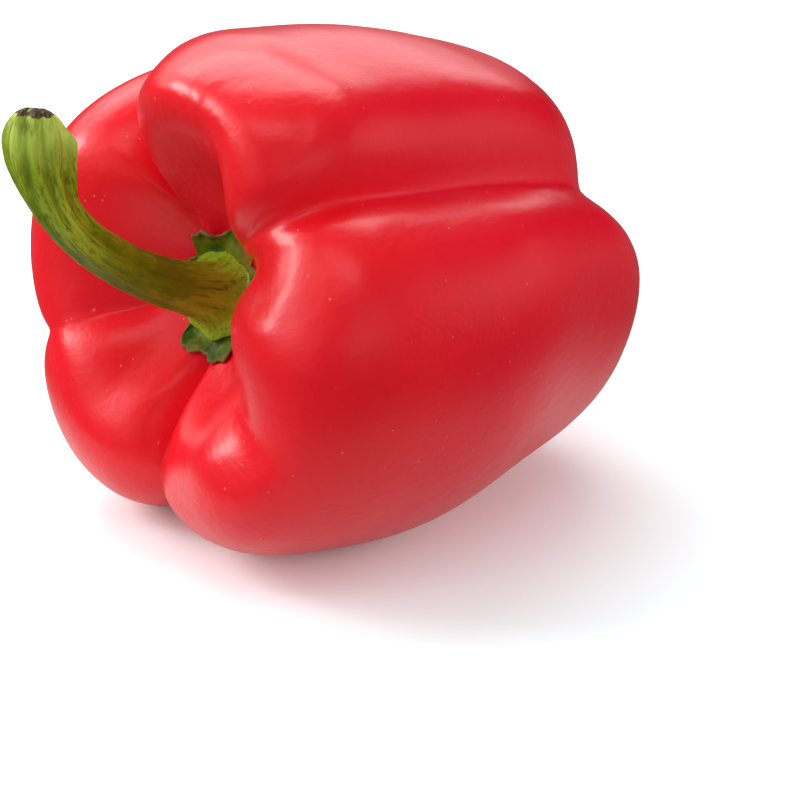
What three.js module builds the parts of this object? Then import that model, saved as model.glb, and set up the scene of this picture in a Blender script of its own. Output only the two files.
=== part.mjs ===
// A bell pepper lying on its side: a lobed fruit, a ragged calyx and a curved stem.
// Millimetres, +Z up. The fruit's long axis runs along X, with the stem end towards -X.
import * as THREE from 'three';

const { degToRad, euclideanModulo, lerp, smoothstep } = THREE.MathUtils;

// How the fruit lies
const tilt = degToRad(10.5);          // its stem end is the raised one
const restFlat = 0.65;                // how far the skin is pressed flat where it rests

// The fruit along its axis, measured from its middle towards the stem
const cavityFloor = 32;
const cavityFloorRadius = 9;
const blossomDimple = -40.5;
const dimpleRadius = 5.5;

// A profile runs from the stem cavity over the shoulder and down the side to the blossom end.
// Each of its nine points is [distance from the axis, place along the axis].
// Angles go round the axis from the top of the fruit, clockwise as seen from behind the stem.
const crests = [
  {
    angle: 95.5, // front lobe
    profile: [
      [16.5, 40], [29, 50.5], [41.5, 49], [51.5, 28], [51, 4.5], [44.5, -18], [36, -40.5], [20, -46], [9, -43.5],
    ],
  },
  {
    angle: 211, // lower lobe
    profile: [
      [16, 37.5], [27, 46], [37.5, 44], [47.5, 28], [43.5, 4.5], [40, -18], [32, -37], [22, -48], [9, -45],
    ],
  },
  {
    angle: 291, // back lobe
    profile: [
      [16.5, 37.5], [29.5, 46], [36, 43.5], [43.5, 28], [46, 4.5], [41, -18], [32, -36.5], [22.5, -47], [9, -44],
    ],
  },
  {
    angle: 21.5, // top lobe
    profile: [
      [19, 40.5], [35, 52], [41, 44], [43.5, 28], [44, 4.5], [41.5, -18], [33, -35], [15, -43.5], [9, -42.5],
    ],
  },
];

// Each groove lies before the crest of the same number.
const grooves = [
  {
    angle: 56, // top lobe to front lobe
    profile: [
      [14, 33.5], [24, 43], [32, 42], [38, 25], [39.5, 3.5], [37.5, -17], [30.5, -32.5], [18, -39.5], [8, -40.5],
    ],
  },
  {
    angle: 180.5, // front lobe to lower lobe
    profile: [
      [14.5, 33], [27, 39.5], [34.5, 40.5], [39.5, 25], [35, 3.5], [32.5, -17], [23.5, -34.5], [14.5, -42.5], [8, -42],
    ],
  },
  {
    angle: 242, // lower lobe to back lobe
    profile: [
      [14.5, 34], [25, 44.5], [32, 44], [35, 25], [36.5, 3.5], [35.5, -17], [28, -33], [17, -40], [8, -41],
    ],
  },
  {
    angle: 326.5, // back lobe to top lobe
    profile: [
      [12, 31.5], [16.5, 34], [27, 36], [39.5, 25], [40, 3.5], [34, -17], [27, -29], [16, -35], [8, -38],
    ],
  },
];

// Folds and bulges of the shoulders. A fold is sharp and sinks in, a bulge is soft and stands out.
// span says at which stations it starts, is full, starts to ease and ends.
const reliefs = [
  // fold in the top lobe
  { angle: 26.5, depth: 3.0, sharp: true, widthBefore: 12, widthAfter: 10, span: [0.9, 1.6, 1.9, 2.8] },
  // its rolled front edge
  { angle: 47, depth: -3.2, sharp: false, widthBefore: 14, widthAfter: 15, span: [1.2, 2.5, 3.8, 5.4] },
  // broad back of the top lobe
  { angle: 42, depth: -3, sharp: false, widthBefore: 16, widthAfter: 8, span: [3.5, 4.6, 6.5, 8] },
  // broad side of the front lobe
  { angle: 70, depth: -3, sharp: false, widthBefore: 12, widthAfter: 16, span: [4.6, 6, 7.2, 8.6] },
  // corner where the two meet
  { angle: 66, depth: 2.6, sharp: false, widthBefore: 5, widthAfter: 10, span: [1, 2, 2.8, 4] },
  // fold in the front lobe
  { angle: 121, depth: 2.9, sharp: true, widthBefore: 6, widthAfter: 14, span: [1.2, 2.2, 2.8, 4.2] },
  // its shoulder above the fold
  { angle: 88.5, depth: -2.6, sharp: false, widthBefore: 18, widthAfter: 18, span: [1.2, 2.6, 3.2, 4.8] },
  // dished wall below the fold
  { angle: 150, depth: 2.2, sharp: false, widthBefore: 16, widthAfter: 14, span: [1.2, 1.8, 2.2, 3] },
  // shoulder below the fold
  { angle: 141, depth: -2.6, sharp: false, widthBefore: 14, widthAfter: 14, span: [2.6, 3.3, 3.9, 5] },
  // seam to the lower lobe
  { angle: 180.5, depth: 1.6, sharp: true, widthBefore: 6, widthAfter: 6, span: [1.2, 2, 4, 5.5] },
  // lower lobe's dished wall
  { angle: 206, depth: 1.8, sharp: false, widthBefore: 14, widthAfter: 14, span: [1.6, 2.4, 2.8, 3.6] },
  // seam to the back lobe
  { angle: 242, depth: 1.4, sharp: true, widthBefore: 8, widthAfter: 8, span: [1.2, 2, 3.4, 4.6] },
];
const foldTip = 0.5;                  // rounds the bottom of a fold, as a share of its width

// Stem: its centre line as [x, z] from the fruit's middle, and [share of its length, radius]
const stemLine = [[-34.4, 5.2], [-38, 6.4], [-45.5, 9.8], [-54, 14.8], [-62.6, 22.4], [-67.8, 31.5], [-68.7, 43.8]];
const stemRadii = [
  [0, 5.6], [0.06, 4.8], [0.15, 4.3], [0.3, 3.9], [0.5, 3.8], [0.7, 3.9], [0.83, 4.4], [0.92, 5.1], [1, 4.9],
];
const stemRidges = 5;
const stemRidge = 0.04;
const stemTwist = 1.2;
const stemTipDome = 0.6;

// Calyx: a collar on the cavity floor with flaps of uneven length that curl towards the stem
const calyxGap = 0.3;
const calyxThickness = 1.1;
const calyxRadius = 8.4;
const calyxLift = 0.8;
const calyxCurl = 0.8;
const calyxFlaps = [
  { angle: 10, width: 26, reach: 1.8 },
  { angle: 75, width: 24, reach: 1.2 },
  { angle: 150, width: 28, reach: 1.4 },
  { angle: 200, width: 20, reach: 2 },
  { angle: 255, width: 22, reach: 1.2 },
  { angle: 320, width: 26, reach: 1.8 },
];

// Fineness of the meshes
const fruitColumns = 84;
const creaseCrowding = 2.2;
const creaseReach = 7;
const rowsPerStation = [2, 2, 4, 4, 5, 5, 4, 4, 4, 3, 1, 1];
const slopeStep = 0.002;
const stemRings = 34;
const stemSides = 20;
const calyxSides = 36;

// Fruit

// Places along a profile, from the cavity floor to the blossom end: the share of its length
// at which the spline passes the floor's middle and edge, the nine profile points, and the
// dimple's edge and middle.
const stations = [0, 0.055, 0.12, 0.21, 0.265, 0.38, 0.52, 0.655, 0.775, 0.87, 0.94, 0.967, 1];

// How a lobe's cross-section swells at each of the nine profile points: the groove's rounding
// in degrees, and two powers that make the lobe's back broad and its flank steep.
const grooveRounding = [1, 1, 2, 5, 9, 9, 6, 2, 1];
const lobeBack = [2.2, 2.2, 2.3, 2.4, 2.4, 2.4, 2.4, 2.3, 2.2];
const lobeFlank = [1.7, 1.7, 1.6, 1.6, 1.7, 1.5, 1.2, 1.5, 1.6];

// Rises from 0 in a groove (across = 0) to 1 on the crest (across = 1).
function lobeSwell(across, rounding, back, flank) {
  const soft = Math.hypot(across, rounding) - rounding;
  const share = soft / (Math.hypot(1, rounding) - rounding);
  return Math.max(1 - (1 - share) ** back, 0) ** (1 / flank);
}

// The nine profile points at one angle round the axis.
function profileAt(angle) {
  const lobe = crests.findIndex((_, i) => {
    const span = euclideanModulo(grooves[(i + 1) % grooves.length].angle - grooves[i].angle, 360);
    return euclideanModulo(angle - grooves[i].angle, 360) < span;
  });
  const before = grooves[lobe];
  const after = grooves[(lobe + 1) % grooves.length];
  const crest = crests[lobe];
  const span = euclideanModulo(after.angle - before.angle, 360);
  const share = euclideanModulo(angle - before.angle, 360) / span;
  const crestShare = euclideanModulo(crest.angle - before.angle, 360) / span;
  const rising = share < crestShare;
  const across = rising ? share / crestShare : (1 - share) / (1 - crestShare);
  const halfWidth = (rising ? crestShare : 1 - crestShare) * span;
  const blend = smoothstep(share, 0, 1);
  return crest.profile.map((top, k) => {
    const rounding = grooveRounding[k] / halfWidth;
    const swell = lobeSwell(across, rounding, lobeBack[k], lobeFlank[k]);
    return top.map((value, axis) => {
      const floor = lerp(before.profile[k][axis], after.profile[k][axis], blend);
      return lerp(floor, value, swell);
    });
  });
}

// A natural cubic spline through one coordinate of the profile, as a function of the share.
function naturalSpline(knots, values) {
  const last = knots.length - 1;
  const bend = new Array(last + 1).fill(0);
  const upper = new Array(last + 1).fill(0);
  const right = new Array(last + 1).fill(0);
  for (let i = 1; i < last; i++) {
    const before = knots[i] - knots[i - 1];
    const after = knots[i + 1] - knots[i];
    const slopeChange = (values[i + 1] - values[i]) / after - (values[i] - values[i - 1]) / before;
    const pivot = 2 * (before + after) - before * upper[i - 1];
    upper[i] = after / pivot;
    right[i] = (6 * slopeChange - before * right[i - 1]) / pivot;
  }
  for (let i = last - 1; i > 0; i--) bend[i] = right[i] - upper[i] * bend[i + 1];
  return (share) => {
    let i = 0;
    while (i < last - 1 && share > knots[i + 1]) i++;
    const width = knots[i + 1] - knots[i];
    const b = (share - knots[i]) / width;
    const a = 1 - b;
    const curve = ((a ** 3 - a) * bend[i] + (b ** 3 - b) * bend[i + 1]) * width * width / 6;
    return a * values[i] + b * values[i + 1] + curve;
  };
}

// How far the skin sinks (or swells, if negative) at one place, in millimetres.
function reliefDepth(relief, angle, station) {
  const [from, full, easing, to] = relief.span;
  const along = smoothstep(station, from, full) * (1 - smoothstep(station, easing, to));
  const off = euclideanModulo(angle - relief.angle + 180, 360) - 180;
  const width = off < 0 ? relief.widthBefore : relief.widthAfter;
  const away = Math.abs(off) / width;
  const across = relief.sharp ? Math.exp(foldTip - Math.hypot(away, foldTip)) : Math.exp(-away * away);
  return relief.depth * along * across;
}

// One meridian of the fruit: points from the cavity floor to the blossom end.
function meridian(angle, shares) {
  const points = [
    [0, cavityFloor],
    [cavityFloorRadius, cavityFloor],
    ...profileAt(angle),
    [dimpleRadius, blossomDimple],
    [0, blossomDimple],
  ];
  const radius = naturalSpline(stations, points.map((p) => p[0]));
  const along = naturalSpline(stations, points.map((p) => p[1]));
  return shares.map(({ share, station }) => {
    const slopeRadius = radius(share + slopeStep) - radius(share - slopeStep);
    const slopeAlong = along(share + slopeStep) - along(share - slopeStep);
    const length = Math.hypot(slopeRadius, slopeAlong);
    const depth = reliefs.reduce((sum, relief) => sum + reliefDepth(relief, angle, station), 0);
    const r = Math.max(radius(share) + depth * slopeAlong / length, 0);
    const w = along(share) - depth * slopeRadius / length;
    return place(r, w, angle);
  });
}

// From the fruit's own axis to the part's frame.
function place(r, w, angle) {
  const turn = degToRad(angle);
  const up = r * Math.cos(turn);
  return new THREE.Vector3(
    -Math.cos(tilt) * w + Math.sin(tilt) * up,
    -r * Math.sin(turn),
    Math.sin(tilt) * w + Math.cos(tilt) * up,
  );
}

// Column angles crowd together in the grooves and folds.
function columnAngles() {
  const creases = [...grooves, ...reliefs.filter((relief) => relief.sharp)];
  const crowding = (angle) => creases.reduce((sum, crease) => {
    const off = euclideanModulo(angle - crease.angle + 180, 360) - 180;
    return sum + creaseCrowding * Math.exp(-((off / creaseReach) ** 2));
  }, 1);
  const fine = 1440;
  const reach = [0];
  for (let i = 0; i < fine; i++) reach.push(reach[i] + crowding((i * 360) / fine));
  return Array.from({ length: fruitColumns }, (_, column) => {
    const wanted = (column / fruitColumns) * reach[fine];
    const i = reach.findIndex((value, k) => value <= wanted && reach[k + 1] > wanted);
    return ((i + (wanted - reach[i]) / (reach[i + 1] - reach[i])) * 360) / fine;
  });
}

// Rows along a meridian: each gap between stations is cut into its own number of steps.
function rowShares() {
  const rows = [];
  rowsPerStation.forEach((steps, i) => {
    for (let step = 0; step < steps; step++) {
      const part = step / steps;
      rows.push({ share: lerp(stations[i], stations[i + 1], part), station: i + part });
    }
  });
  rows.push({ share: 1, station: stations.length - 1 });
  return rows;
}

// A closed skin over columns of points that all start at one pole and end at the other.
// Columns go round so that column direction x row direction points outwards.
function closedSkin(columns) {
  const rowCount = columns[0].length;
  const inner = rowCount - 2;
  const between = columns.flatMap((column) => column.slice(1, -1));
  const positions = [columns[0][0], ...between, columns[0][rowCount - 1]].flatMap((point) => point.toArray());
  const firstPole = 0;
  const lastPole = between.length + 1;
  const at = (column, row) => 1 + (column % columns.length) * inner + row;
  const index = [];
  columns.forEach((_, c) => {
    index.push(firstPole, at(c + 1, 0), at(c, 0));
    for (let row = 0; row < inner - 1; row++) {
      index.push(at(c, row), at(c + 1, row), at(c, row + 1));
      index.push(at(c + 1, row), at(c + 1, row + 1), at(c, row + 1));
    }
    index.push(at(c, inner - 1), at(c + 1, inner - 1), lastPole);
  });
  const geometry = new THREE.BufferGeometry();
  geometry.setAttribute('position', new THREE.Float32BufferAttribute(positions, 3));
  geometry.setIndex(index);
  return geometry;
}

function fruitGeometry() {
  const rows = rowShares();
  const columns = columnAngles().map((angle) => meridian(angle, rows));
  const lowest = Math.min(...columns.flat().map((point) => point.z));
  const restLevel = lowest + restFlat;
  columns.flat().forEach((point) => {
    point.z = Math.max(point.z, restLevel);
  });
  return closedSkin(columns);
}

// Stem

function stemGeometry() {
  const line = new THREE.CatmullRomCurve3(stemLine.map(([x, z]) => new THREE.Vector3(x, 0, z)));
  const radius = naturalSpline(stemRadii.map((p) => p[0]), stemRadii.map((p) => p[1]));
  const sideways = new THREE.Vector3(0, 1, 0);
  const rings = [];
  for (let ring = 0; ring <= stemRings; ring++) {
    const share = ring / stemRings;
    rings.push({ centre: line.getPointAt(share), ahead: line.getTangentAt(share), size: radius(share), share });
  }
  const columns = [];
  for (let side = 0; side < stemSides; side++) {
    const turn = (side / stemSides) * 2 * Math.PI;
    const column = [rings[0].centre.clone()];
    rings.forEach(({ centre, ahead, size, share }) => {
      const over = new THREE.Vector3().crossVectors(ahead, sideways);
      const ridge = 1 + stemRidge * Math.cos(stemRidges * turn + stemTwist * share);
      const out = sideways.clone().multiplyScalar(Math.cos(turn)).addScaledVector(over, Math.sin(turn));
      column.push(centre.clone().addScaledVector(out, size * ridge));
    });
    const tip = rings[stemRings];
    column.push(tip.centre.clone().addScaledVector(tip.ahead, stemTipDome));
    columns.push(column);
  }
  return closedSkin(columns);
}

// Calyx

function calyxGeometry() {
  const columns = [];
  for (let side = 0; side < calyxSides; side++) {
    const degrees = (side / calyxSides) * 360;
    const ragged = calyxFlaps.reduce((sum, flap) => {
      const off = (euclideanModulo(degrees - flap.angle + 180, 360) - 180) / flap.width;
      return sum + flap.reach * Math.exp(-off * off);
    }, 0);
    const rim = calyxRadius + ragged;
    const lift = calyxLift + ragged * calyxCurl;
    const bottom = cavityFloor + calyxGap;
    const outline = [
      [0, bottom + calyxThickness],
      [rim * 0.5, bottom + calyxThickness],
      [rim * 0.8, bottom + calyxThickness + lift * 0.25],
      [rim, bottom + calyxThickness + lift],
      [rim + 0.4, bottom + calyxThickness * 0.4 + lift],
      [rim * 0.85, bottom + lift * 0.1],
      [rim * 0.5, bottom],
      [0, bottom],
    ];
    columns.push(outline.map(([r, w]) => place(r, w, degrees)));
  }
  return closedSkin(columns);
}

// Assembly

const skin = new THREE.MeshStandardMaterial({ color: 0xc4121c, roughness: 0.25, metalness: 0 });
const leafy = new THREE.MeshStandardMaterial({ color: 0x4c6b1e, roughness: 0.6, metalness: 0 });
const stalk = new THREE.MeshStandardMaterial({ color: 0x7c9a3a, roughness: 0.5, metalness: 0 });

function piece(name, geometry, material) {
  const mesh = new THREE.Mesh(geometry, material);
  mesh.name = name;
  geometry.computeVertexNormals();
  return mesh;
}

const group = new THREE.Group();
group.add(
  piece('fruit', fruitGeometry(), skin),
  piece('calyx', calyxGeometry(), leafy),
  piece('stem', stemGeometry(), stalk),
);

// Stands the pepper on z = 0 with its bounding box centred over the origin.
const box = new THREE.Box3().setFromObject(group);
const middle = box.getCenter(new THREE.Vector3());
group.position.set(-middle.x, -middle.y, -box.min.z);

export default group;
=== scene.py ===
import math
import random
import bpy
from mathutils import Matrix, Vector


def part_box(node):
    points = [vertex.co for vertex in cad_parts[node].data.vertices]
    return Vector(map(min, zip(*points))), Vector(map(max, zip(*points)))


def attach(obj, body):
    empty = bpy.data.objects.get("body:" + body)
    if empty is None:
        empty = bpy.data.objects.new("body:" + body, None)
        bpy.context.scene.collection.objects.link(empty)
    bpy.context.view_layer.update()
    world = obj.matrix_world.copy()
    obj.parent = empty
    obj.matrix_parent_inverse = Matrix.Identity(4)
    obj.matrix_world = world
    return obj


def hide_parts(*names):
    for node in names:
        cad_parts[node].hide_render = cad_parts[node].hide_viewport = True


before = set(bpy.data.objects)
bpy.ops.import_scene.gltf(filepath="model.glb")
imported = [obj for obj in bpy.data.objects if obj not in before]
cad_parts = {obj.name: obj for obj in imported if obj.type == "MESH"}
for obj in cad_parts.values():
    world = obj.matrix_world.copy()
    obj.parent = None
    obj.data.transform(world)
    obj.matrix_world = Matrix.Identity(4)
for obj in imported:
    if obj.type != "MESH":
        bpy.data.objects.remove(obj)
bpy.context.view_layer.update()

mm = 0.001


# studio: camera and lamps

view = dict(
    azimuth=-47.7,                      # round the pepper, from the front towards the stem end
    elevation=23.3,
    roll=0.5,
    distance=444 * mm,
    aim=Vector((74.0, -7.95, -21.85)) * mm,     # from the low corner of the stem's box
    lens=111.4,
    nearest=10 * mm,
)

lamps = dict(
    # azimuth, elevation, distance, width, height, level (1 is a white face), shines in the gloss
    windowBack=(166, 34, 0.80, 0.90, 0.50, 1.2, True),
    windowHigh=(142, 56, 0.78, 0.80, 0.44, 2.7, True),
    windowLeft=(-132, 37, 0.80, 0.90, 0.60, 0.9, True),
    windowBright=(-140, 31, 0.74, 0.30, 0.28, 8.5, True),
    skylight=(-54, 63, 0.90, 0.60, 0.32, 1.2, True),
    windowRight=(122, 19, 0.90, 0.40, 0.30, 1.35, True),
    fillFront=(-15, 14, 1.20, 1.20, 0.70, 1.4, False),
    fillLeft=(-95, 15, 1.20, 1.20, 0.80, 1.8, False),
    fillRight=(58, 11, 1.20, 1.10, 0.66, 4.2, False),
)


def directionOf(azimuth, elevation):
    around, up = math.radians(azimuth), math.radians(elevation)
    return Vector((math.sin(around) * math.cos(up), -math.cos(around) * math.cos(up), math.sin(up)))


def pointAt(thing, place, target, roll=0.0):
    turn = (target - place).to_track_quat("-Z", "Y").to_matrix()
    thing.location = place
    thing.rotation_euler = turn.to_euler()
    thing.rotation_euler.rotate_axis("Z", math.radians(roll))


def makeCamera():
    target = Vector(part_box("stem")[0]) + view["aim"]
    place = target + directionOf(view["azimuth"], view["elevation"]) * view["distance"]
    bpy.ops.object.camera_add()
    camera = bpy.context.object
    camera.name = "tableCamera"
    camera.data.lens = view["lens"]
    camera.data.clip_start = view["nearest"]
    pointAt(camera, place, target, view["roll"])
    bpy.context.scene.camera = camera
    print("camera set")


def makeLamps():
    low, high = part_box("fruit")
    target = (Vector(low) + Vector(high)) / 2
    for name, (azimuth, elevation, distance, width, height, level, shines) in lamps.items():
        bpy.ops.object.light_add(type="AREA")
        lamp = bpy.context.object
        lamp.name = name
        lamp.data.shape = "RECTANGLE"
        lamp.data.size = width
        lamp.data.size_y = height
        lamp.data.energy = level * math.pi * width * height
        lamp.visible_glossy = shines
        pointAt(lamp, target + directionOf(azimuth, elevation) * distance, target)
    print("lamps set:", len(lamps))


# shader nodes, so that materials read as expressions

class Wire:
    # one output of a node, so that maths on it reads as maths
    def __init__(self, finish, output):
        self.finish, self.output = finish, output

    def maths(self, operation, first, second, clamp=False):
        settings = dict(operation=operation, use_clamp=clamp)
        return self.finish.make("ShaderNodeMath", settings, {0: first, 1: second})

    def __add__(self, other):
        return self.maths("ADD", self, other)

    def __sub__(self, other):
        return self.maths("SUBTRACT", self, other)

    def __rsub__(self, other):
        return self.maths("SUBTRACT", other, self)

    def __mul__(self, other):
        return self.maths("MULTIPLY", self, other)

    def __pow__(self, other):
        return self.maths("POWER", self, other)

    def __rpow__(self, other):
        return self.maths("POWER", other, self)

    def clamped(self):
        return self.maths("ADD", self, 0.0, clamp=True)

    __radd__ = __add__
    __rmul__ = __mul__


class Finish:
    # a material, or the world, and its nodes
    def __init__(self, name, world=False):
        self.material = bpy.data.worlds.new(name) if world else bpy.data.materials.new(name)
        self.material.use_nodes = True
        self.nodes = self.material.node_tree.nodes
        self.links = self.material.node_tree.links
        self.nodes.clear()

    def make(self, kind, settings=None, inputs=None, output=0):
        node = self.nodes.new(kind)
        for setting, value in (settings or {}).items():
            setattr(node, setting, value)
        for key, value in (inputs or {}).items():
            if isinstance(value, Wire):
                self.links.new(value.output, node.inputs[key])
            else:
                node.inputs[key].default_value = value
        return Wire(self, node.outputs[output]) if node.outputs else None

    def place(self):
        return self.make("ShaderNodeTexCoord", output="Object")

    def attribute(self, name, output="Fac"):
        return self.make("ShaderNodeAttribute", dict(attribute_name=name), output=output)

    def stretched(self, where, scale):
        # a scale under 1 draws the pattern out
        return self.make("ShaderNodeMapping", {}, {"Vector": where, "Scale": scale})

    def split(self, vector):
        node = self.make("ShaderNodeSeparateXYZ", {}, {"Vector": vector}).output.node
        return [Wire(self, socket) for socket in node.outputs]

    def noise(self, where, scale, detail, roughness):
        inputs = {"Vector": where, "Scale": scale, "Detail": detail, "Roughness": roughness}
        return self.make("ShaderNodeTexNoise", {}, inputs, "Fac")

    def dots(self, where, scale, core, edge, bare):
        # small round dots, one in some cells of a loose pattern: bare is the share of cells without one
        cells = self.make("ShaderNodeTexVoronoi", {}, {"Vector": where, "Scale": scale, "Randomness": 1.0})
        lottery = self.split(Wire(self, cells.output.node.outputs["Color"]))[0]
        return self.ramp(cells, edge, core) * self.ramp(lottery, bare, bare + 0.02)

    def ramp(self, factor, low, high, start=0.0, end=1.0):
        # runs smoothly from start to end while factor goes from low to high
        settings = dict(interpolation_type="SMOOTHSTEP")
        inputs = {"Value": factor, "From Min": low, "From Max": high, "To Min": start, "To Max": end}
        return self.make("ShaderNodeMapRange", settings, inputs)

    def blend(self, factor, first, second):
        # from the first colour to the second, by their numbers on a node that mixes colours
        inputs = {0: factor, 6: self.rgba(first), 7: self.rgba(second)}
        return self.make("ShaderNodeMix", dict(data_type="RGBA"), inputs, 2)

    def rgba(self, colour):
        return colour if isinstance(colour, Wire) else (*colour, 1.0)

    def bump(self, height, distance, strength):
        inputs = {"Height": height, "Distance": distance, "Strength": strength}
        return self.make("ShaderNodeBump", {}, inputs)

    def surface(self, **sockets):
        inputs = {name.replace("_", " "): value for name, value in sockets.items()}
        shader = self.make("ShaderNodeBsdfPrincipled", {}, inputs)
        self.make("ShaderNodeOutputMaterial", {}, {"Surface": shader})
        return self.material


# modelling helpers

def onlySelect(piece):
    if bpy.context.object and bpy.context.object.mode != "OBJECT":
        bpy.ops.object.mode_set(mode="OBJECT")
    bpy.ops.object.select_all(action="DESELECT")
    piece.select_set(True)
    bpy.context.view_layer.objects.active = piece


def pick(piece, numbers):
    # goes into edit mode with just these points selected
    onlySelect(piece)
    numbers = set(numbers)
    for point in piece.data.vertices:
        point.select = point.index in numbers
    for part in (*piece.data.edges, *piece.data.polygons):
        part.select = numbers.issuperset(part.vertices)
    bpy.ops.object.mode_set(mode="EDIT")


def startRing(name, sides, radius, centre, lean):
    # a ring of points that leans towards +X, in edit mode and selected, to be extruded
    bpy.ops.object.select_all(action="DESELECT")
    bpy.ops.mesh.primitive_circle_add(vertices=sides, radius=radius, location=centre, rotation=(0, lean, 0))
    piece = bpy.context.object
    piece.name = name
    bpy.ops.object.transform_apply(location=True, rotation=True, scale=True)
    bpy.ops.object.mode_set(mode="EDIT")
    bpy.ops.mesh.select_mode(type="VERT")
    bpy.ops.mesh.select_all(action="SELECT")
    return piece


def extrudeBy(step):
    bpy.ops.mesh.extrude_region_move(TRANSFORM_OT_translate={"value": step})


def scaleAbout(centre, scale):
    bpy.ops.transform.resize(value=(scale, scale, scale), center_override=centre)


def applyModifier(piece, kind, name, **settings):
    modifier = piece.modifiers.new(name, kind)
    for setting, value in settings.items():
        setattr(modifier, setting, value)
    onlySelect(piece)
    bpy.ops.object.modifier_apply(modifier=name)


def subdivide(piece, levels):
    applyModifier(piece, "SUBSURF", "smoothSkin", levels=levels, render_levels=levels)


def roughen(piece, name, strength, size):
    # moves the surface in and out along its normals by a cloudy pattern
    cloud = bpy.data.textures.new(name, "CLOUDS")
    cloud.noise_scale = size
    cloud.noise_depth = 2
    settings = dict(texture=cloud, strength=strength, mid_level=0.5, texture_coords="LOCAL")
    applyModifier(piece, "DISPLACE", name, **settings)


def keepValues(piece, name, kind, field, values):
    # one value for each point, that the piece's material reads by this name
    piece.data.attributes.new(name, kind, "POINT").data.foreach_set(field, values)


def turnBetween(first, second):
    # degrees from one angle to another, the short way round
    return abs((first - second + 180) % 360 - 180)


def settle(piece, finish, node):
    # a finished piece: smooth, at the origin, riding on the body in place of its CAD node
    onlySelect(piece)
    bpy.ops.object.transform_apply(location=True, rotation=True, scale=True)
    bpy.ops.object.shade_smooth()
    piece.data.materials.clear()
    piece.data.materials.append(finish)
    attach(piece, "root")
    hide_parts(node)
    print(piece.name, "done:", len(piece.data.polygons), "faces")


# fruit

fruitShape = dict(
    merged=0.01 * mm,                   # points nearer than this become one
    flatness=math.radians(60),          # how uneven two triangles may be and still make one face
    levels=2,
    dent=0.35 * mm,
    dentSize=16 * mm,
    hollow=2.4 * mm,                    # round the foot of the stem
    hollowReach=12.5 * mm,
    hollowBack=8 * mm,                  # behind the foot, where the hollow ends
    # rounder shoulders: middle from the low corner of the fruit's box, and reach
    softened=[(Vector((14, 33, 79)) * mm, 18 * mm), (Vector((8, 20, 57)) * mm, 13 * mm)],
    # share of that reach, and how often it is smoothed
    softening=[(1.30, 2), (1.15, 4), (1.0, 7), (0.85, 12), (0.70, 20), (0.55, 30)],
)

skinLook = dict(
    deep=(0.760, 0.001, 0.018),
    bright=(0.860, 0.006, 0.015),
    speck=(0.88, 0.24, 0.22),
    # clouds: scale, detail, roughness
    patches=(28, 3, 0.5),
    mottle=(420, 3, 0.6),
    # what brings out the bright colour: the stem's end, from where to where along the fruit, the
    # patches, between these limits, and the mottle, with the share of each
    brightEnd=(4 * mm, -30 * mm),
    brightPatches=(0.35, 0.70),
    brightShares=(0.75, 0.25, 0.35),
    # stretch, scale, radius of the core and of the edge, share left bare, paleness, depth
    marks=[
        ((1, 1, 1), 330.0, 0.030, 0.085, 0.15, 0.65, 0.4),          # pores
        ((1, 1, 0.4), 120.0, 0.012, 0.040, 0.40, 0.60, 0.4),        # corky marks
        ((0.16, 1, 0.8), 150.0, 0.020, 0.050, 0.30, 0.50, 0.5),     # healed scratches
    ],
    # stretch, scale, detail, roughness, height
    bumps=[
        ((1, 1, 1), 1100, 2, 0.6, 0.32),
        ((0.6, 1, 1), 430, 2, 0.5, 0.50),
        ((0.45, 1, 1), 130, 2, 0.5, 0.90),
    ],
    # scale, detail, roughness, from where to where along the fruit they come in, height
    lines=[
        (3.0, 3, 0.6, 52 * mm, 36 * mm, 0.22),      # faint, from end to end
        (1.0, 2, 0.5, 36 * mm, 56 * mm, 2.0),       # wrinkles round the blossom end
    ],
    linesAround=9,                      # scale of the lines, round the fruit and along it
    linesAlong=14,
    axisHeight=37.5 * mm,               # of the fruit's long axis, over the floor
    bumpDepth=0.25 * mm,
    bumpStrength=0.85,
    roughness=0.33,
    patchyRoughness=0.12,
    mottledRoughness=0.10,
    shine=0.45,
    shineRoughness=0.23,
    glow=0.05,                          # light that soaks in, and how far
    glowReach=2 * mm,
)


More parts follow.
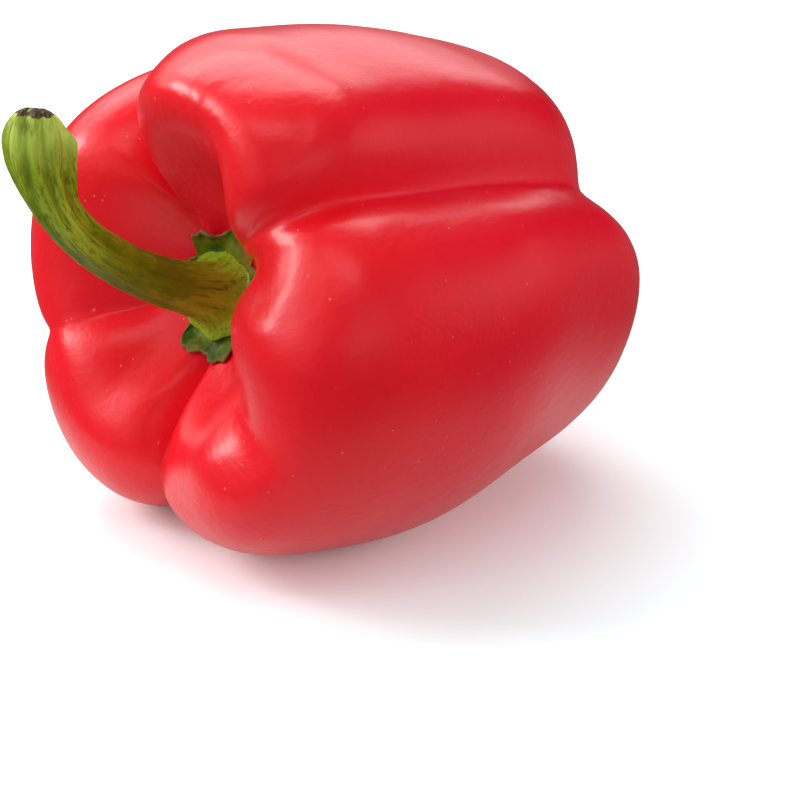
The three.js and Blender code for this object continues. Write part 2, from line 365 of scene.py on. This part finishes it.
def skinFinish():
    skin = Finish("skin")
    look = skinLook
    where = skin.place()
    along, across, up = skin.split(where)
    patches = skin.noise(where, *look["patches"])
    mottle = skin.noise(where, *look["mottle"]) - 0.5
    stemEnd = skin.ramp(along, *look["brightEnd"])
    patchy = skin.ramp(patches, *look["brightPatches"])
    endShare, patchShare, mottleShare = look["brightShares"]
    tone = (stemEnd * endShare + patchy * patchShare + mottle * mottleShare).clamped()
    colour = skin.blend(tone, look["deep"], look["bright"])

    speckled = relief = 0.0
    for stretch, scale, core, edge, bare, paleness, depth in look["marks"]:
        mark = skin.dots(skin.stretched(where, stretch), scale, core, edge, bare)
        speckled = speckled + mark * paleness
        relief = relief - mark * depth
    colour = skin.blend(speckled.clamped(), colour, look["speck"])

    for stretch, scale, detail, roughness, height in look["bumps"]:
        relief = relief + skin.noise(skin.stretched(where, stretch), scale, detail, roughness) * height

    # round the long axis and along it, so that lines run from end to end
    above = up - look["axisHeight"]
    around = skin.make("ShaderNodeMath", dict(operation="ARCTAN2"), {0: across, 1: above})
    unrolled = {"X": around * look["linesAround"], "Y": along * look["linesAlong"], "Z": 0.0}
    lines = skin.make("ShaderNodeCombineXYZ", {}, unrolled)
    for scale, detail, roughness, start, full, height in look["lines"]:
        relief = relief + skin.noise(lines, scale, detail, roughness) * skin.ramp(along, start, full) * height

    uneven = (patches - 0.5) * look["patchyRoughness"] + mottle * look["mottledRoughness"]
    return skin.surface(
        Base_Color=colour, Roughness=look["roughness"] + uneven, IOR=1.45,
        Normal=skin.bump(relief, look["bumpDepth"], look["bumpStrength"]),
        Subsurface_Weight=look["glow"], Subsurface_Scale=look["glowReach"],
        Coat_Weight=look["shine"], Coat_Roughness=look["shineRoughness"], Coat_IOR=1.50,
    )


def sinkRoundStem(fruit):
    # a hollow in the floor of the stem's cavity, that the calyx sits in
    foot = stemStations()[0][0]
    for point in fruit.data.vertices:
        off = point.co - foot
        if off.x < fruitShape["hollowBack"]:
            gap = math.hypot(off.y, off.z) / fruitShape["hollowReach"]
            point.co.x += fruitShape["hollow"] * math.exp(-gap ** 4)


def softenShoulders(fruit):
    # smaller and smaller places, smoothed more and more, so that no edge shows
    low = Vector(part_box("fruit")[0])
    for middle, reach in fruitShape["softened"]:
        for share, rounds in fruitShape["softening"]:
            points = fruit.data.vertices
            pick(fruit, [p.index for p in points if (p.co - low - middle).length < reach * share])
            bpy.ops.mesh.vertices_smooth(factor=0.5, repeat=rounds)
            bpy.ops.object.mode_set(mode="OBJECT")


def makeFruit():
    shape = fruitShape
    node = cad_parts["fruit"]
    fruit = bpy.data.objects.new("fruitSkin", node.data.copy())
    fruit.matrix_world = node.matrix_world.copy()
    bpy.context.scene.collection.objects.link(fruit)
    onlySelect(fruit)
    bpy.ops.object.mode_set(mode="EDIT")
    bpy.ops.mesh.select_all(action="SELECT")
    bpy.ops.mesh.remove_doubles(threshold=shape["merged"])
    bpy.ops.mesh.tris_convert_to_quads(face_threshold=shape["flatness"], shape_threshold=shape["flatness"])
    bpy.ops.object.mode_set(mode="OBJECT")
    subdivide(fruit, shape["levels"])
    sinkRoundStem(fruit)
    softenShoulders(fruit)
    roughen(fruit, "gentleDents", shape["dent"], shape["dentSize"])
    for point in fruit.data.vertices:
        point.co.z = max(point.co.z, 0.0)       # flat where it rests
    settle(fruit, skinFinish(), "fruit")


# stem

stemShape = dict(
    sides=48,
    levels=2,
    bark=0.25 * mm,
    barkSize=2.5 * mm,
    # stations from foot to tip, in mm: back from the box's -X side, down from its top, and radius
    stations=[
        (43.0, 40.7, 8.2), (42.7, 40.6, 7.9), (42.2, 40.4, 7.0), (41.4, 40.1, 6.2), (39.9, 39.6, 5.3),
        (37.1, 38.5, 4.65), (33.4, 36.9, 4.25), (29.5, 35.0, 3.95), (25.0, 32.5, 3.75), (20.0, 29.1, 3.6),
        (15.4, 25.5, 3.55), (11.5, 21.6, 3.5), (8.5, 17.5, 3.5), (6.5, 13.6, 3.8), (5.4, 10.0, 4.4),
        (5.0, 7.0, 4.95), (4.9, 4.9, 4.9), (5.1, 3.3, 4.45), (5.2, 2.1, 3.8), (5.3, 1.25, 3.05),
        (5.35, 0.8, 2.4),
    ],
    tipStart=14,                        # the station where the swollen tip starts
    ridgeAngles=[12, 52, 96, 140, 178, 226, 262, 306, 338],     # degrees round the stem
    ridgeWidth=12,
    ridgeRise=1.05,                     # share of the radius on a ridge, and in a groove
    grooveSink=0.965,
    tipRidges=1.9,                      # how much stronger both are on the tip
    nub=dict(angle=225, width=9, rings=(13, 16), rise=1.4),     # the scar of a leaf, beside the cut end
    tipSlope=0.42,                      # the cut end slopes down to the back right
    slopeToward=Vector((0.74, 0.67, 0)),
    # how the ends close: mm onwards, and scale
    tipSteps=[(0.30, 0.84), (0.05, 0.86), (-0.35, 0.88), (-0.30, 0.60)],
    tipMiddle=0.1,
    footSteps=[(0.5, 0.93), (0.6, 0.70), (0.1, 0.50)],
    scarDepth=0.6,                      # mm of the stalk that the scar takes up
)

stemLook = dict(
    green=(0.215, 0.300, 0.004),
    pale=(0.460, 0.580, 0.035),
    groove=(0.050, 0.085, 0.001),
    olive=(0.115, 0.175, 0.002),        # the lower half
    flare=(0.290, 0.450, 0.018),        # the widening foot, and its upper edge
    rim=(0.480, 0.470, 0.200),
    paintedHighlight=(0.520, 0.640, 0.110),         # painted highlight on the top of the tip
    cut=(0.045, 0.024, 0.010),          # the dried scar
    crust=(0.180, 0.110, 0.045),
    # clouds: scale, detail, roughness; the first three are stretched along the stalk
    fibres=(1500, 3, 0.6),
    fibreStretch=(0.07, 1, 1),
    bands=(380, 3, 0.6),
    bandStretch=(0.10, 1, 1),
    speckle=(1500, 3, 0.7),
    speckleStretch=(0.30, 1, 1),
    patches=(150, 3, 0.6),
    ragged=(700, 3, 0.7),
    # between which limits of a pattern a colour comes in, and from how much to how much
    paleBands=(0.40, 0.72),
    darkFibres=(0.50, 0.66),
    darkSpeckle=(0.50, 0.66),
    sunkGrooves=(0.45, 1.0),
    sunkPatches=(0.35, 0.60),
    olivePatches=(0.30, 0.60, 0.45, 0.90),
    flareFibres=(0.75, 0.45),
    paintedHighlightBands=(0.35, 0.65, 0.10, 0.85),
    crustFibres=(0.40, 0.70),
    scarEdge=(0.60, 0.80),
    scarRagged=1.8,
    # the same along the stalk, from its foot
    oliveTop=(42 * mm, 22 * mm),
    oliveFoot=(4 * mm, 12 * mm),
    speckleFoot=(6 * mm, 20 * mm, 0.25, 0.55),
    flareTop=(13 * mm, 4 * mm),
    rimEdge=(0.9 * mm, 0.0),
    # and by height over the floor
    rimHeight=(42 * mm, 47 * mm),
    paintedHighlightHeight=(73.5 * mm, 80.5 * mm),
    fibreShare=0.60,
    sunkShare=0.75,
    flareShare=0.75,
    rimShare=0.80,
    roughness=(0.30, 0.70, 0.42, 0.58),     # by the speckle
    bumpDepth=0.35 * mm,
    bumpStrength=0.7,
    gloss=0.25,
)


def stemStations():
    low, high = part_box("stem")
    middle = (low[1] + high[1]) / 2
    return [
        (Vector((low[0] + back * mm, middle, high[2] - down * mm)), radius * mm)
        for back, down, radius in stemShape["stations"]
    ]


def stemFinish():
    stem = Finish("stem")
    look = stemLook
    where = stem.place()
    high = stem.split(where)[2]
    grain = stem.attribute("grain", "Vector")
    along = stem.split(grain)[0]
    sink = stem.attribute("sink")
    fibres = stem.noise(stem.stretched(grain, look["fibreStretch"]), *look["fibres"])
    bands = stem.noise(stem.stretched(grain, look["bandStretch"]), *look["bands"])
    speckle = stem.noise(stem.stretched(grain, look["speckleStretch"]), *look["speckle"])
    patches = stem.noise(where, *look["patches"])
    ragged = stem.noise(where, *look["ragged"]) - 0.5

    # green with pale bands, dark fibres and patchy grooves
    colour = stem.blend(stem.ramp(bands, *look["paleBands"]), look["green"], look["pale"])
    dark = stem.ramp(fibres, *look["darkFibres"]) * look["fibreShare"]
    colour = stem.blend(dark, colour, look["groove"])
    sunk = stem.ramp(sink, *look["sunkGrooves"]) * stem.ramp(patches, *look["sunkPatches"])
    colour = stem.blend(sunk * look["sunkShare"], colour, look["groove"])

    # the olive lower half, dark flecks all over, and the paler foot with its edge
    lower = stem.ramp(along, *look["oliveTop"]) * stem.ramp(along, *look["oliveFoot"])
    colour = stem.blend(lower * stem.ramp(patches, *look["olivePatches"]), colour, look["olive"])
    flecks = stem.ramp(speckle, *look["darkSpeckle"]) * stem.ramp(along, *look["speckleFoot"])
    colour = stem.blend(flecks, colour, look["groove"])
    flared = stem.ramp(along, *look["flareTop"]) * stem.ramp(fibres, *look["flareFibres"])
    colour = stem.blend(flared * look["flareShare"], colour, look["flare"])
    edge = stem.ramp(along, *look["rimEdge"]) * stem.ramp(high, *look["rimHeight"])
    colour = stem.blend(edge * look["rimShare"], colour, look["rim"])

    # a painted highlight on the top of the tip, and the dried scar with its ragged edge
    paintedHighlight = stem.ramp(high, *look["paintedHighlightHeight"]) * stem.ramp(bands, *look["paintedHighlightBands"])
    colour = stem.blend(paintedHighlight, colour, look["paintedHighlight"])
    dried = stem.blend(stem.ramp(fibres, *look["crustFibres"]), look["cut"], look["crust"])
    scar = stem.attribute("cut") + ragged * look["scarRagged"]
    colour = stem.blend(stem.ramp(scar, *look["scarEdge"]), colour, dried)

    relief = fibres * 0.8 + bands * 0.5 + speckle * 0.3 - sink * 0.3
    return stem.surface(
        Base_Color=colour, Roughness=stem.ramp(speckle, *look["roughness"]),
        Normal=stem.bump(relief, look["bumpDepth"], look["bumpStrength"]),
        Specular_IOR_Level=look["gloss"],
    )


def makeStem():
    stations = stemStations()
    foot, footRadius = stations[0]
    heading = stations[1][0] - foot
    lean = math.atan2(heading.x, heading.z)          # turn about +Y from straight up
    stem = startRing("stemStalk", stemShape["sides"], footRadius, foot, lean)
    for i in range(1, len(stations)):
        centre, radius = stations[i]
        before, radiusBefore = stations[i - 1]
        extrudeBy(centre - before)
        ahead = stations[min(i + 1, len(stations) - 1)][0] - before
        newLean = math.atan2(ahead.x, ahead.z)
        if abs(newLean - lean) > 1e-5:
            bpy.ops.transform.rotate(value=-(newLean - lean), orient_axis="Y", center_override=centre)
        scaleAbout(centre, radius / radiusBefore)
        lean = newLean
    bpy.ops.object.mode_set(mode="OBJECT")
    carveRidges(stem, stations)
    closeTip(stem, len(stations) - 1)
    closeFoot(stem, foot, heading.normalized())
    subdivide(stem, stemShape["levels"])
    unbendGrain(stem, stations)
    roughen(stem, "barkyStalk", stemShape["bark"], stemShape["barkSize"])
    settle(stem, stemFinish(), "stem")


def ringOf(number):
    # the numbers of a station's points
    sides = stemShape["sides"]
    return range(number * sides, (number + 1) * sides)


def ridgeAt(around):
    # 1 on a ridge, near 0 in a groove
    away = min(turnBetween(around, angle) for angle in stemShape["ridgeAngles"])
    return math.exp(-(away / stemShape["ridgeWidth"]) ** 2)


def carveRidges(stem, stations):
    # ridges and grooves run the whole length, and are strongest on the swollen tip
    shape = stemShape
    nub, tip, groove = shape["nub"], shape["tipStart"], shape["grooveSink"]
    for number, (centre, radius) in enumerate(stations):
        strength = shape["tipRidges"] if number >= tip else 1.0
        slope = shape["tipSlope"] * max(0, number - tip) / (len(stations) - 1 - tip)
        for k, i in enumerate(ringOf(number)):
            around = 360 * k / shape["sides"]
            factor = 1 + (groove + (shape["ridgeRise"] - groove) * ridgeAt(around) - 1) * strength
            if nub["rings"][0] <= number <= nub["rings"][1]:
                near = math.exp(-(turnBetween(around, nub["angle"]) / nub["width"]) ** 2)
                factor += nub["rise"] * mm / radius * near
            point = stem.data.vertices[i]
            off = (point.co - centre) * factor
            point.co = centre + off - Vector((0, 0, off.dot(shape["slopeToward"]) * slope))


def closeTip(stem, last):
    # the cut end: a dried rim, a shallow dip and a closed middle
    shape = stemShape
    rim = ringOf(last)
    centre = sum((stem.data.vertices[i].co for i in rim), Vector()) / len(rim)
    ahead = (Vector((0, 0, 1)) + shape["slopeToward"] * shape["tipSlope"]).normalized()
    pick(stem, rim)
    for step, scale in shape["tipSteps"]:
        centre = centre + ahead * step * mm
        extrudeBy(ahead * step * mm)
        scaleAbout(centre, scale)
    extrudeBy(ahead * shape["tipMiddle"] * mm)
    bpy.ops.mesh.merge(type="CENTER")
    bpy.ops.object.mode_set(mode="OBJECT")


def closeFoot(stem, foot, heading):
    # the underside of the widening foot
    pick(stem, ringOf(0))
    for step, scale in stemShape["footSteps"]:
        extrudeBy(heading * step * mm)
        scaleAbout(foot + heading * step * mm, scale)
    bpy.ops.mesh.merge(type="CENTER")
    bpy.ops.mesh.select_all(action="SELECT")
    bpy.ops.mesh.normals_make_consistent(inside=False)
    bpy.ops.object.mode_set(mode="OBJECT")


def nearestOn(stations, lengths, place):
    # the nearest place on the stem's middle line: how far along it, where it is, and the line's direction
    best = None
    for (a, _), (b, _), before in zip(stations, stations[1:], lengths):
        step = b - a
        share = min(max((place - a).dot(step) / step.length_squared, 0), 1)
        gap = (place - a - step * share).length
        if best is None or gap < best[0]:
            best = (gap, before + step.length * share, a + step * share, step.normalized())
    return best[1:]


def unbendGrain(stem, stations):
    # grain: along the stalk and across it, as if it were straight; sink: 1 in a groove; cut: 1 on the scar
    lengths = [0.0]
    for (a, _), (b, _) in zip(stations, stations[1:]):
        lengths.append(lengths[-1] + (b - a).length)
    grain, sink, cut = [], [], []
    for point in stem.data.vertices:
        along, centre, ahead = nearestOn(stations, lengths, point.co)
        off = point.co - centre
        over = off.dot(ahead.cross(Vector((0, 1, 0))))
        depth = (lengths[-1] - along) / mm
        grain += (along, off.y, over)
        sink.append(1 - ridgeAt(math.degrees(math.atan2(over, off.y)) % 360))
        cut.append(max(0.0, min(1.0, 1.0 - depth / stemShape["scarDepth"])))
    keepValues(stem, "grain", "FLOAT_VECTOR", "vector", grain)
    keepValues(stem, "sink", "FLOAT", "value", sink)
    keepValues(stem, "cut", "FLOAT", "value", cut)


# calyx

calyxShape = dict(
    sides=108,
    levels=1,
    lean=-79.5,                         # degrees from upright, as the fruit lies
    thickness=0.55 * mm,
    crinkle=0.5 * mm,
    crinkleSize=2.2 * mm,
    rings=[(5.0, -0.5), (6.6, -0.5), (7.6, -0.4)],      # radius and height of the collar, mm
    # flaps: angle from the top, clockwise as seen from behind the stem; half width; reach and lift in mm
    flaps=[
        (338, 21, 2.5, 3.3), (22, 22, 4.9, 0.2), (75, 22, 3.0, 1.0), (118, 18, 2.6, 2.0),
        (160, 20, 4.0, 3.4), (199, 18, 3.4, 3.6), (250, 18, 0.4, 1.0), (292, 16, 0.5, 1.2),
    ],
    flapSteps=[0.2, 0.4, 0.6, 0.8, 0.93, 1.0],
    leastReach=0.4,                     # mm, also between the flaps
    curl=1.4,                           # over 1, a flap lifts mostly near its edge
    ragged=0.5,                         # mm in or out at the edge
    raggedLift=0.6,                     # share of that, up or down
    raggedStride=7,                     # so that what goes up isn't what goes out
    seed=4,
)

calyxLook = dict(
    leaf=(0.030, 0.075, 0.001),
    young=(0.150, 0.190, 0.003),
    sunned=(0.270, 0.140, 0.008),       # the top, towards the front
    dry=(0.200, 0.120, 0.035),          # the edge
    # clouds: scale, detail, roughness
    patches=(260, 3, 0.6),
    veins=(1200, 3, 0.6),
    # between which limits a colour comes in, and from how much to how much
    youngPatches=(0.35, 0.65),
    sunnedAcross=(2 * mm, -3 * mm),
    sunnedHeight=(46 * mm, 51 * mm),
    sunnedVeins=(0.30, 0.60, 0.60, 1.0),
    dryEdge=(1.05, 1.30),
    dryPatches=0.5,
    roughness=(0.0, 1.0, 0.45, 0.80),       # by how dry it is
    bumpDepth=0.4 * mm,
    bumpStrength=0.6,
    gloss=0.3,
)


def calyxFinish():
    calyx = Finish("calyx")
    look = calyxLook
    where = calyx.place()
    _, across, high = calyx.split(where)
    patches = calyx.noise(where, *look["patches"])
    veins = calyx.noise(where, *look["veins"])
    colour = calyx.blend(calyx.ramp(patches, *look["youngPatches"]), look["leaf"], look["young"])
    sunned = calyx.ramp(across, *look["sunnedAcross"]) * calyx.ramp(high, *look["sunnedHeight"])
    colour = calyx.blend(sunned * calyx.ramp(veins, *look["sunnedVeins"]), colour, look["sunned"])
    dried = calyx.ramp(calyx.attribute("rim") + patches * look["dryPatches"], *look["dryEdge"])
    colour = calyx.blend(dried, colour, look["dry"])
    relief = patches * 0.5 + veins * 0.5
    return calyx.surface(
        Base_Color=colour, Roughness=calyx.ramp(dried, *look["roughness"]),
        Normal=calyx.bump(relief, look["bumpDepth"], look["bumpStrength"]),
        Specular_IOR_Level=look["gloss"],
    )


def flapAt(around):
    # how far the calyx reaches at an angle, and how far it lifts there
    reach = lift = 0.0
    for angle, width, flapReach, flapLift in calyxShape["flaps"]:
        near = math.exp(-(turnBetween(around, angle) / width) ** 4)
        reach, lift = reach + flapReach * near, lift + flapLift * near
    return reach, lift


def spreadFlaps(calyx, centre, lean):
    # lays out the rings of the collar and the flaps; rim: 0 on the collar, 1 at the edge
    shape = calyxShape
    sides, rings = shape["sides"], shape["rings"]
    axis = Vector((math.sin(lean), 0, math.cos(lean)))
    up = Vector((math.cos(lean), 0, -math.sin(lean)))
    side = Vector((0, -1, 0))
    chance = random.Random(shape["seed"])
    uneven = [chance.uniform(-shape["ragged"], shape["ragged"]) for _ in range(sides)]
    rim = []
    for point in calyx.data.vertices:
        ring, k = divmod(point.index, sides)
        turn = 2 * math.pi * k / sides
        if ring < len(rings):
            radius, height = rings[ring]
            share = 0.0
        else:
            reach, lift = flapAt(math.degrees(turn))
            unevenLift = uneven[(k * shape["raggedStride"]) % sides] * shape["raggedLift"]
            share = shape["flapSteps"][ring - len(rings)]
            radius = rings[-1][0] + (shape["leastReach"] + reach) * share + uneven[k] * share ** 2
            height = rings[-1][1] + lift * share ** shape["curl"] + unevenLift * share
        outward = up * math.cos(turn) + side * math.sin(turn)
        point.co = centre + outward * radius * mm + axis * height * mm
        rim.append(share)
    keepValues(calyx, "rim", "FLOAT", "value", rim)


def makeCalyx():
    shape = calyxShape
    centre = stemStations()[0][0]
    lean = math.radians(shape["lean"])
    calyx = startRing("calyxCollar", shape["sides"], shape["rings"][0][0] * mm, centre, lean)
    for _ in shape["rings"][1:] + shape["flapSteps"]:
        extrudeBy((0, 0, 0))
    bpy.ops.object.mode_set(mode="OBJECT")
    spreadFlaps(calyx, centre, lean)
    applyModifier(calyx, "SOLIDIFY", "leafThickness", thickness=shape["thickness"], offset=0.0)
    subdivide(calyx, shape["levels"])
    roughen(calyx, "crinkles", shape["crinkle"], shape["crinkleSize"])
    settle(calyx, calyxFinish(), "calyx")


# surroundings

floorLook = dict(
    size=8.0,
    seen=(1.06, 1.20, 1.22),            # to the eye, so that the lit floor is white
    near=0.75,                          # to the light, so that little of it lands back on the pepper
    far=0.08,
    nearReach=30 * mm,
    farReach=120 * mm,
    whiteBeyond=(350 * mm, 600 * mm),   # farther out the floor is as white as the sky
)

skyLevel = 0.30                         # soft light from all round, too dim to show in the gloss


def floorFinish():
    floor = Finish("floor")
    look = floorLook
    seen = floor.make("ShaderNodeLightPath", output="Is Camera Ray")
    along, across, _ = floor.split(floor.place())
    reach = (along * along + across * across) ** 0.5
    level = floor.ramp(reach, look["nearReach"], look["farReach"], look["near"], look["far"])
    grey = floor.make("ShaderNodeCombineColor", {}, {"Red": level, "Green": level, "Blue": level})
    shader = floor.make("ShaderNodeBsdfDiffuse", {}, {"Color": floor.blend(seen, grey, look["seen"])})
    white = floor.make("ShaderNodeEmission", {}, {"Color": (1, 1, 1, 1), "Strength": 1.0})
    distant = seen * floor.ramp(reach, *look["whiteBeyond"])
    mixed = floor.make("ShaderNodeMixShader", {}, {0: distant, 1: shader, 2: white})
    floor.make("ShaderNodeOutputMaterial", {}, {"Surface": mixed})
    return floor.material


def makeFloor():
    bpy.ops.object.select_all(action="DESELECT")
    bpy.ops.mesh.primitive_plane_add(size=floorLook["size"])
    floor = bpy.context.object
    floor.name = "studioFloor"
    floor.data.materials.append(floorFinish())
    print("floor laid")


def makeSky():
    sky = Finish("studioSky", world=True)
    seen = sky.make("ShaderNodeLightPath", output="Is Camera Ray")
    strength = skyLevel + seen * (1 - skyLevel)
    glow = sky.make("ShaderNodeBackground", {}, {"Color": (1, 1, 1, 1), "Strength": strength})
    sky.make("ShaderNodeOutputWorld", {}, {"Surface": glow})
    bpy.context.scene.world = sky.material
    sky.material.cycles_visibility.glossy = False
    print("sky set")


makeCamera()
makeLamps()
makeFloor()
makeSky()
makeFruit()
makeStem()
makeCalyx()
bpy.context.scene.view_settings.view_transform = "Standard"
